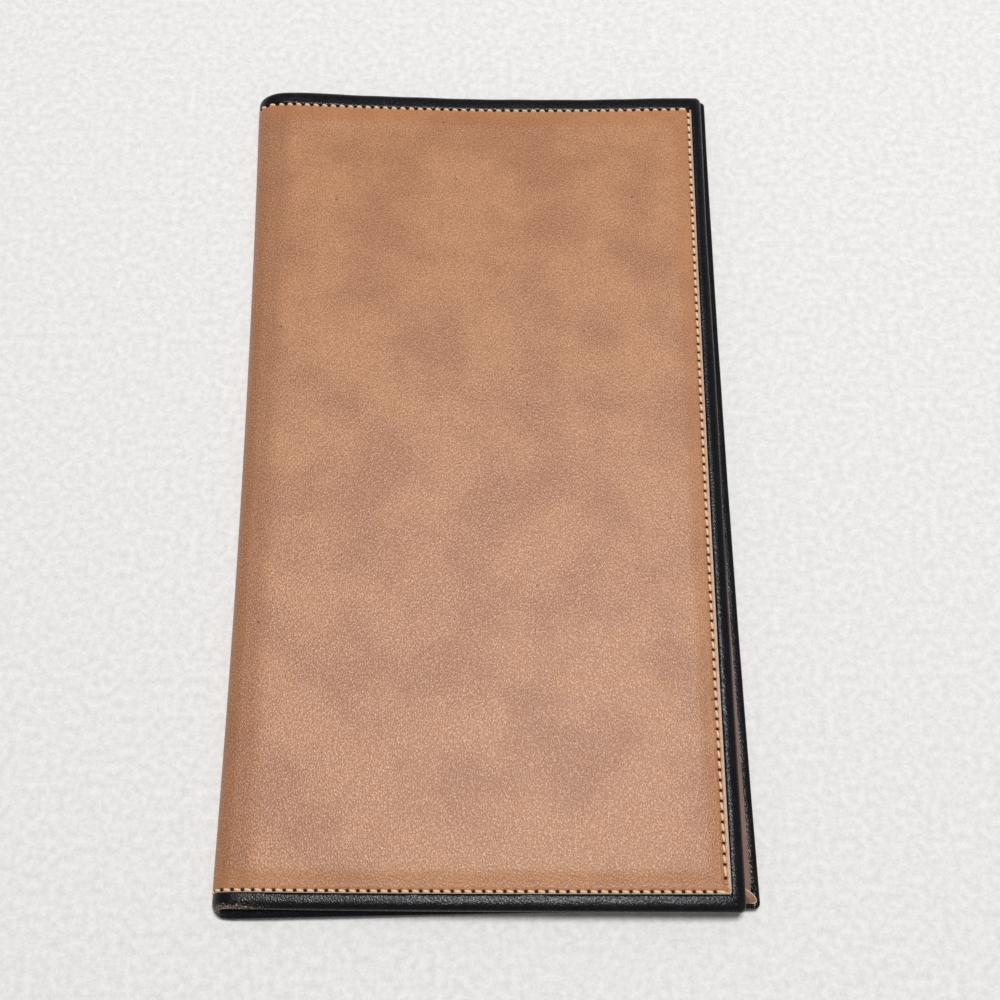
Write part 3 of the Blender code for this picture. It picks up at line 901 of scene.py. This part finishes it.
# A closed round of stations along a path by points of the closed cross-section
def sweepEdge(name, grids, reach, flip):
    faces, points, rub, flat = [], [], [], []
    for t, v, w in grids:
        stations, count = t.shape
        index = len(points) * stations * count + np.arange(t.size).reshape(t.shape)
        first, second = index[:-1], index[1:]
        band = np.stack([first, second, np.roll(second, -1, 1), np.roll(first, -1, 1)], axis=-1)
        band = band.reshape(-1, 4).tolist() + [index[0].tolist(), index[-1, ::-1].tolist()]
        if flip != (len(points) == 1):
            band = [face[::-1] for face in band]
        faces += band
        place = leatherPoint(t, v, w)
        along = np.cumsum(np.linalg.norm(np.diff(place[:, 8], axis=0, prepend=place[:1, 8]), axis=-1))
        around = np.cumsum(np.linalg.norm(np.diff(place[4], axis=0, prepend=place[4, :1]), axis=-1))
        both = np.broadcast_arrays(along[:, None], around[None, :])
        flat.append(np.stack(both, axis=-1).reshape(-1, 2))
        points.append(place.reshape(-1, 3))
        rub.append(rubValue(t, v, reach).ravel())
    values = {"rub": np.concatenate(rub)}
    return putMesh(name, np.concatenate(points), faces, blackCalf, values, np.concatenate(flat) * mm)


# Turned edge of a cover: the cross-section goes along three sides. At inset d a corner's
# centre lies c = d + radius in from both edges, with the radius left at that inset
def turnedEdge(cover):
    s = baseSheet
    isFront = cover == "front"
    reach = holder[cover + "Reach"]
    profile = turnedProfile(cover)
    run = np.concatenate([np.linspace(0, 0.06, 9)[:-1], np.linspace(0.06, 1, 50)])
    turn = np.linspace(pi / 2, 0, 9)[1:-1]
    side = np.linspace(1, -1, 90)
    stepsU = np.concatenate([run, np.ones(14 + len(side)), run[::-1]])[:, None]
    stepsV = np.concatenate([np.ones(len(run) + 7), side, -np.ones(len(run) + 7)])[:, None]
    none, whole = np.zeros(len(run)), np.ones(len(run))
    turnU, turnV = np.cos(turn), np.sin(turn)
    wayU = np.concatenate([none, turnU, np.ones(len(side)), turnU[::-1], none])[:, None]
    wayV = np.concatenate([whole, turnV, np.zeros(len(side)), -turnV[::-1], -whole])[:, None]
    inset = profile[:, 0] + np.abs(wayV) * profile[:, 1]
    left = np.maximum(s["corner"] - inset, 0.2)
    u = stepsU * (reach - inset - left) + wayU * left
    v = stepsV * (halfLength - inset - left) + wayV * left
    w = turnedDepth(profile, u)
    sway = 0.07 * np.sin(u / 5.3 + v / 7.1) + 0.05 * np.sin(u / 2.1 - v / 3.3)
    slopeDown = s["droop"] * np.abs(wayU) * np.clip((2.0 - profile[:, 0]) / 1.1, 0, 1)
    sag, sagFrom = s["cornerSag"]
    fromCorner = ((reach - u) / sagFrom) ** 2 + ((halfLength - np.abs(v)) / sagFrom) ** 2
    slopeDown = slopeDown + sag * np.exp(-fromCorner)
    nose = profile[:, 4] + profile[:, 5] * (1.0 if isFront else 0.0)
    outside = profile[:, 4] + profile[:, 5] + profile[:, 6] * (profile[:, 0] < 3)
    w = w + slopeDown * nose + sway * smoothRise(u, 0, 3) * outside
    t = u if isFront else -foldArc - u
    return sweepEdge(f"{cover}_base_leather_turned_edge", [(t, v, w)], reach, not isFront)


# A piece of the base leather that is worn the same all over
def evenRub(value):
    return lambda t, v: {"rub": np.full_like(t, value)}


# The base leather's middle part, hidden between the outer leather and the boards
def baseMiddle(name, lines, count, **more):
    ends = halfLength - baseSheet["hiddenInset"] + baseSheet["overlap"]
    return makeSheet(
        name, blackCalf, lines, np.linspace(-1, 1, count) * ends,
        flatDepth(baseSheet["under"] + 0.02), flatDepth(baseSheet["inner"] - 0.02),
        cutWall(0.1, 3), marks=evenRub(0.0), **more,
    )


for cover in ("front", "back"):
    isFront = cover == "front"
    fit(turnedEdge(cover), f"{cover}_cover", [f"{cover}_base_leather"])
    end = holder[cover + "Reach"] - baseSheet["hiddenInset"] + baseSheet["overlap"]
    lines = np.linspace(0.0, end, 40) if isFront else np.linspace(-foldArc - end, -foldArc, 40)
    middle = baseMiddle(f"{cover}_base_leather_middle", lines, 70, free=(not isFront, isFront))
    fit(middle, f"{cover}_cover", [f"{cover}_base_leather"])

# Round the fold the base leather's ends are turned in too, without a board
profile = turnedProfile("front")
for number in range(3):
    t = foldLines(number, 0.5)[:, None]
    inset = profile[None, :, 0] + profile[None, :, 1]
    w = turnedDepth(profile, np.zeros_like(t))
    grids = [np.broadcast_arrays(t, end * (halfLength - inset), w) for end in (-1, 1)]
    name = f"fold_base_leather_turned_ends_{number + 1}"
    ends = sweepEdge(name, grids, holder["frontReach"], False)
    bend(ends, number, 1.8, foldNodes("base_leather", number), "base_leather")
    strip = baseMiddle(
        f"fold_base_leather_middle_{number + 1}", foldLines(number, 0.5), 50,
        free=(False, False), innerNet=True,
    )
    bend(strip, number, 1.8, foldNodes("base_leather", number), "base_leather")

print("scene: stitches")


# Depth of the leather's surface at a point of a row
def rowDepth(along, keep, isT):
    return crownDepth(np.where(isT, along, keep), np.where(isT, keep, along))


# Closed rounds get their faces turned outwards
def turnOutwards(piece):
    shape = bmesh.new()
    shape.from_mesh(piece.data)
    bmesh.ops.recalc_face_normals(shape, faces=shape.faces)
    shape.to_mesh(piece.data)
    shape.free()


# Each stitch is a short round of thread along its row. Its radius swells from the holes as
# a low power of a sine, and it arches out of them. A place holds a stitch's start and length
# along the row, the value its row keeps, slant, gap, and whether it runs along t
def makeStitches(name, places):
    steps, sides = 7, 8
    share = np.linspace(0, 1, steps)[None, :, None]
    angle = np.linspace(0, 2 * pi, sides, endpoint=False)[None, None, :]
    start, length, keep, slant, gap, isT = (np.array(a)[:, None, None] for a in zip(*places))
    tilt = np.tan(radians(stitch["skew"])) * (share - 0.5) * length
    radius = stitch["thread"] / 2 * np.clip(np.sin(pi * (0.06 + 0.88 * share)), 0, 1) ** 0.3
    along = start - gap / 2 - share * (length - gap)
    across = radius * np.cos(angle) + tilt + slant * along
    arch = np.sin(pi * share) ** 0.5
    t = np.where(isT, along, keep + across)
    v = np.where(isT, keep + across, along)
    w = rowDepth(start - length / 2, keep, isT) + 0.32 - 0.26 * arch
    w = w - radius * 0.85 * np.sin(angle)
    count = len(places)
    index = np.arange(count * steps * sides).reshape(count, steps, sides)
    a, b = index[:, :-1], index[:, 1:]
    quads = np.stack([a, b, np.roll(b, -1, 2), np.roll(a, -1, 2)], axis=-1).reshape(-1, 4)
    faces = quads.tolist() + index[:, 0].tolist() + index[:, -1, ::-1].tolist()
    points = leatherPoint(t.ravel(), v.ravel(), w.ravel())
    turnsFlat = np.broadcast_to(angle, t.shape).ravel()
    flat = np.stack([np.broadcast_to(along, t.shape).ravel() * mm, turnsFlat], axis=-1)
    piece = putMesh(name, points, faces, linenThread, {}, flat)
    turnOutwards(piece)
    return piece


# The stitches of the rows whose middles lie between two values of t
def rowStitches(names, lowT, highT):
    places = []
    for name in names:
        row = rows[name]
        isT = row["along"] == "t"
        for start, end in zip(row["holes"][:-1], row["holes"][1:]):
            if not isT or lowT <= (start + end) / 2 < highT:
                places.append((start, start - end, row["keep"], row["slant"], row["gap"], isT))
    return places


for cover, low, high in (("front", 0.0, inf), ("back", -inf, -foldArc)):
    places = rowStitches(["top", "bottom", cover], low, high)
    thread = makeStitches(f"{cover}_stitching_thread", places)
    fit(thread, f"{cover}_cover", [f"{cover}_stitching"])
for number in range(3):
    places = rowStitches(["top", "bottom"], foldEnds[number], foldEnds[number + 1])
    thread = makeStitches(f"fold_stitching_thread_{number + 1}", places)
    bend(thread, number, 0.4, [], "thread")

print("scene: padding and boards")


# A plain layer of a cover with cut edges, from start to end and to both sides of the middle
def makeLayer(name, isFront, spanU, endsV, outer, inner, material, body, node, slot, **more):
    start, end = spanU if isFront else (-foldArc - spanU[1], -foldArc - spanU[0])
    linesT, linesV = np.linspace(start, end, 30), np.linspace(-endsV, endsV, 50)
    layer = makeSheet(name, material, linesT, linesV, outer, inner, cutWall(0.12, 3), **more)
    fit(layer, body, [node])
    return layer


innards = {
    "paddingOuter": 0.9,
    "paddingInner": 1.3,
    "paddingInset": (7.1, 7.8),  # at the free side, at the ends
    "foldPaddingEnd": 106.0,
    "boardOuter": 2.25,
    "boardInner": 2.65,
    "boardInset": 1.35,
    "boardStart": 3.0,
}
for cover in ("front", "back"):
    isFront = cover == "front"
    reach = holder[cover + "Reach"]
    body = cover + "_cover"
    free = (not isFront, isFront)
    pad = makeLayer(
        cover + "_padding_felt", isFront, (0.0, reach - innards["paddingInset"][0]),
        halfLength - innards["paddingInset"][1],
        lambda t, v: innards["paddingInner"] - 0.05 - 0.33 * smoothRise(toCutEdge(t, v), 4.2, 8.4),
        flatDepth(innards["paddingInner"]), felt, body, cover + "_padding", "padding", free=free,
    )
    makeLayer(
        cover + "_stiffener_board", isFront, (innards["boardStart"], reach - innards["boardInset"]),
        halfLength - innards["boardInset"], flatDepth(innards["boardOuter"]),
        flatDepth(innards["boardInner"]), greyBoard, body, cover + "_stiffener", "board", radius=1.0,
    )
for number in range(3):
    ends = innards["foldPaddingEnd"]
    pad = makeSheet(
        f"fold_padding_felt_{number + 1}", felt, foldLines(number, 0.6), np.linspace(-ends, ends, 50),
        flatDepth(innards["paddingOuter"]), flatDepth(innards["paddingInner"]), cutWall(0.1, 3),
        free=(False, False), innerNet=True,
    )
    bend(pad, number, 1.1, foldNodes("padding", number), "padding")

print("scene: inner side")
inside = {
    "panelFace": 3.75,
    "panelBack": 3.3,
    "pocketFace": 4.25,
    "pocketBack": 3.85,
    "slotFace": 4.75,
    "slotBack": 4.35,
    "panelStart": 2.2,
    "panelSideBorder": 2.35,
    "panelEndBorder": (1.2, 3.4),  # at the top and at the foot
    "pocketEdge": 0.6,
    "edgeRound": 0.14,
    "creaseInset": 1.5,
    "creaseDepth": 0.09,
    "slantTop": -10.0,
    "slantShoulder": 45.0,
    "cornerU": 124.0,  # the slanted pocket runs out to the cover's lower corner
    "cornerV": -112.6,
    "bendU": 121.2,  # where its mouth bends down to that corner
    "bendV": -109.8,
    "footRise": 2.1,  # its foot lies this much higher away from the corner
    "passportTop": -4.0,
    "cardBottom": 3.0,
    "cardUpper": 78.0,
    "cardLower": 60.0,
}


# A panel or pocket on the inner side. The exposed side is the deeper one, so the net lies
# there and the faces are turned over. mouth(u, v) is the distance to the pocket's mouth
def makeInner(name, isFront, spanU, spanV, face, back, material, node,
              mouth=None, shape=None, sink=None):
    s = inside
    spacingU = np.linspace(*spanU, 60)
    stations = np.array([0, 0.4, 0.9, 1.2, 1.5, 1.8, 2.3])
    linesU = netLines([spacingU, spanU[0] + stations, spanU[1] - stations])
    middleV = (spanV[0] + spanV[1]) / 2
    halfV = (spanV[1] - spanV[0]) / 2
    linesV = netLines([np.linspace(-halfV, halfV, 80), stations - halfV, halfV - stations])
    lineT = linesU if isFront else (-foldArc - linesU)[::-1]

    def toU(t):
        return t if isFront else -t - foldArc

    def warp(t, v):
        u = toU(t)
        v = v + middleV
        if shape is not None:
            u, v = shape(u, v)
        return (u if isFront else -foldArc - u), v

    def creaseValue(t, v):
        if mouth is None:
            return np.zeros_like(t)
        return np.exp(-(((mouth(toU(t), v) - s["creaseInset"]) / 0.22) ** 2))

    # only a mouth shows a raw edge, the other sides are glued or sewn down
    def openValue(t, v):
        if mouth is None:
            return np.ones_like(t)
        return 1 - smoothRise(mouth(toU(t), v), 0.4, 1.0)

    def marks(t, v):
        return {"crease": creaseValue(t, v), "open": openValue(t, v)}

    def lower(t, v):
        return np.zeros_like(t) if sink is None else sink(toU(t), v)

    def exposed(t, v):
        return face - s["creaseDepth"] * creaseValue(t, v) - lower(t, v)

    def hidden(t, v):
        return back - lower(t, v)

    wall = cutWall(s["edgeRound"] if sink is None else 0.34)
    piece = makeSheet(
        name, material, lineT, linesV, exposed, hidden, wall, radius=0.5, innerNet=sink is not None,
        warp=warp, flip=True, marks=marks,
    )
    fit(piece, "front_cover" if isFront else "back_cover", [node])
    return piece


for isFront in (True, False):
    s = inside
    reach = holder["frontReach" if isFront else "backReach"]
    endU = reach - s["panelSideBorder"]
    topV = halfLength - s["panelEndBorder"][0]
    footV = s["panelEndBorder"][0 if isFront else 1] - halfLength
    pocketU = endU - s["pocketEdge"]
    pocketV = footV + s["pocketEdge"]
    node = "front_inner_panel" if isFront else "back_ticket_panel"
    makeInner(
        node + "_skin", isFront, (s["panelStart"], endU), (footV, topV), s["panelFace"], s["panelBack"],
        panelSkin, node,
    )
    if isFront:
        makeInner(
            "passport_pocket_skin", True, (s["panelStart"], pocketU), (pocketV, s["passportTop"]),
            s["pocketFace"], s["pocketBack"], pocketSkin, "passport_pocket",
            mouth=lambda u, v: inside["passportTop"] - v,
        )
        for node, top, face, back in (
            ("card_slot_upper", s["cardBottom"] + s["cardUpper"], s["pocketFace"], s["pocketBack"]),
            ("card_slot_lower", s["cardBottom"] + s["cardLower"], s["slotFace"], s["slotBack"]),
        ):
            makeInner(
                node + "_skin", True, (s["panelStart"], pocketU), (s["cardBottom"], top), face, back,
                panelSkin, node, mouth=lambda u, v, top=top: top - v,
            )
    else:
        # the slanted mouth: a straight line up from the bend, and below it a quarter sine
        # out to the corner
        def mouthU(v):
            s = inside
            run = (s["bendU"] - s["slantShoulder"]) / (s["slantTop"] - s["bendV"])
            below = np.sin(pi / 2 * np.clip((s["bendV"] - v) / (s["bendV"] - s["cornerV"]), 0, 1))
            above = s["bendU"] - run * np.clip(v - s["bendV"], 0, None)
            return above + (s["cornerU"] - s["bendU"]) * below

        # the net's columns are drawn in along each row to end on the mouth, and its foot
        # is lifted away from the corner
        def slantShape(u, v):
            s = inside
            start = s["panelStart"]
            u = start + (u - start) * (mouthU(v) - start) / (s["cornerU"] - start)
            lift = s["footRise"] * (1 - smoothRise(u, 108, 122)) * smoothRise(-v, 60, -s["cornerV"])
            return u, v + lift

        def slantMouth(u, v):
            return np.minimum((mouthU(v) - u) * 0.79, inside["slantTop"] - v)

        # it lies on the panel, and sinks to the turned edge past the panel's own edge
        def slantSink(u, v):
            past = np.minimum(holder["backReach"] - u, v + halfLength)
            return 0.7 * (1 - smoothRise(past, 0.5, 2.4))

        makeInner(
            "back_slant_pocket_skin", False, (s["panelStart"], s["cornerU"]),
            (s["cornerV"], s["slantTop"]), s["pocketFace"], s["pocketBack"], pocketSkin,
            "back_slant_pocket",
            mouth=slantMouth, shape=slantShape, sink=slantSink,
        )

# The turned edge is pleated beside the slanted pocket's corner: a low dome with folds
pleat = {
    "u": 123.5,
    "v": -109.45,
    "long": 1.05,  # half its length and width
    "wide": 1.0,
    "height": 0.7,
}


def pleatShape(t, v):
    return t, v + pleat["v"]


# Depth of the back's turned-in face by its free side: a flat ellipse
def backFace(u):
    low, high = baseSheet["middle"][1], baseSheet["turnedFace"][1]
    across = 1 - np.clip((holder["backReach"] - u) / baseSheet["roundUnder"]["back"][0], 0, 1)
    return low + (high - low) * np.sqrt(1 - across**2)


def pleatTop(t, v):
    s = pleat
    far = ((t + foldArc + s["u"]) / s["wide"]) ** 2 + ((v - s["v"]) / s["long"]) ** 2
    near = np.clip(1 - far, 0, 1)
    folds = 0.1 * np.sin(v * 5.5 + t * 2)
    return backFace(-foldArc - t) - 0.05 + s["height"] * np.sqrt(near) + folds * near


tuck = makeSheet(
    "back_base_leather_corner_pleat", blackCalf,
    np.linspace(-pleat["wide"], pleat["wide"], 17) - foldArc - pleat["u"],
    np.linspace(-pleat["long"], pleat["long"], 25),
    pleatTop, lambda t, v: backFace(-foldArc - t) - 0.2, cutWall(0.05, 3),
    radius=0.9, warp=pleatShape, flip=True, marks=evenRub(0.12),
)
fit(tuck, "back_cover", ["back_base_leather"])

print("scene: stage")
stage = {"paper": "#EFEDEC", "shade": "#DBDAD9", "size": 4.0, "fibre": 0.6}


# Heavy rag paper, smooth and matt: pale grey with faint short fibres
def paperPattern(tree, shader):
    place = addNode(tree, "ShaderNodeTexCoord").outputs["Object"]
    fibres = noise(tree, place, stage["fibre"], 5.0, 0.7)
    clouds = noise(tree, place, 2.0, 2.0)
    share = ramp(tree, maths(tree, "ADD", fibres, clouds), 0.75, 1.25)
    fill(tree, shader, "Base Color", tint(tree, colour(stage["shade"]), share, stage["paper"]))
    addBump(tree, shader, fibres, 0.4, 0.15)


paper = newMaterial("rag paper, matt", paperPattern, Roughness=0.9)
half = stage["size"] / 2
floorMesh = bpy.data.meshes.new("floor")
corners = [(-half, -half, 0), (half, -half, 0), (half, half, 0), (-half, half, 0)]
floorMesh.from_pydata(corners, [], [(0, 1, 2, 3)])
floorMesh.materials.append(paper)
floor = bpy.data.objects.new("floor", floorMesh)
bpy.context.scene.collection.objects.link(floor)

view = {
    "location": (0.001257, -0.141789, 0.362226),
    "rotation": (0.3534, 0.0, -0.0045),
    "lens": 52.15,
}
camera = bpy.data.objects.new("camera", bpy.data.cameras.new("camera"))
camera.data.lens = view["lens"]
camera.location = view["location"]
camera.rotation_euler = view["rotation"]
bpy.context.scene.collection.objects.link(camera)
bpy.context.scene.camera = camera

light = {
    "world": 0.22,
    "overhead lamp": ((0.1, 0.22, 1.8), 0.5, 29.6),  # place, size and power
    "side lamp": ((0.9, 0.5, 1.0), 0.8, 0.5),
}
world = bpy.data.worlds.new("room")
world.use_nodes = True
world.node_tree.nodes["Background"].inputs["Color"].default_value = (1, 1, 1, 1)
world.node_tree.nodes["Background"].inputs["Strength"].default_value = light["world"]
bpy.context.scene.world = world


# A soft square lamp that shines from a place to the origin
def addLamp(name, place, size, power):
    lamp = bpy.data.lights.new(name, "AREA")
    lamp.size = size
    lamp.energy = power
    item = bpy.data.objects.new(name, lamp)
    item.location = place
    direction = -np.array(place) / np.linalg.norm(place)
    item.rotation_euler = (np.arccos(-direction[2]), 0.0, np.arctan2(direction[0], -direction[1]))
    bpy.context.scene.collection.objects.link(item)


for name in ("overhead lamp", "side lamp"):
    addLamp(name, *light[name])
bpy.context.scene.view_settings.view_transform = "Standard"
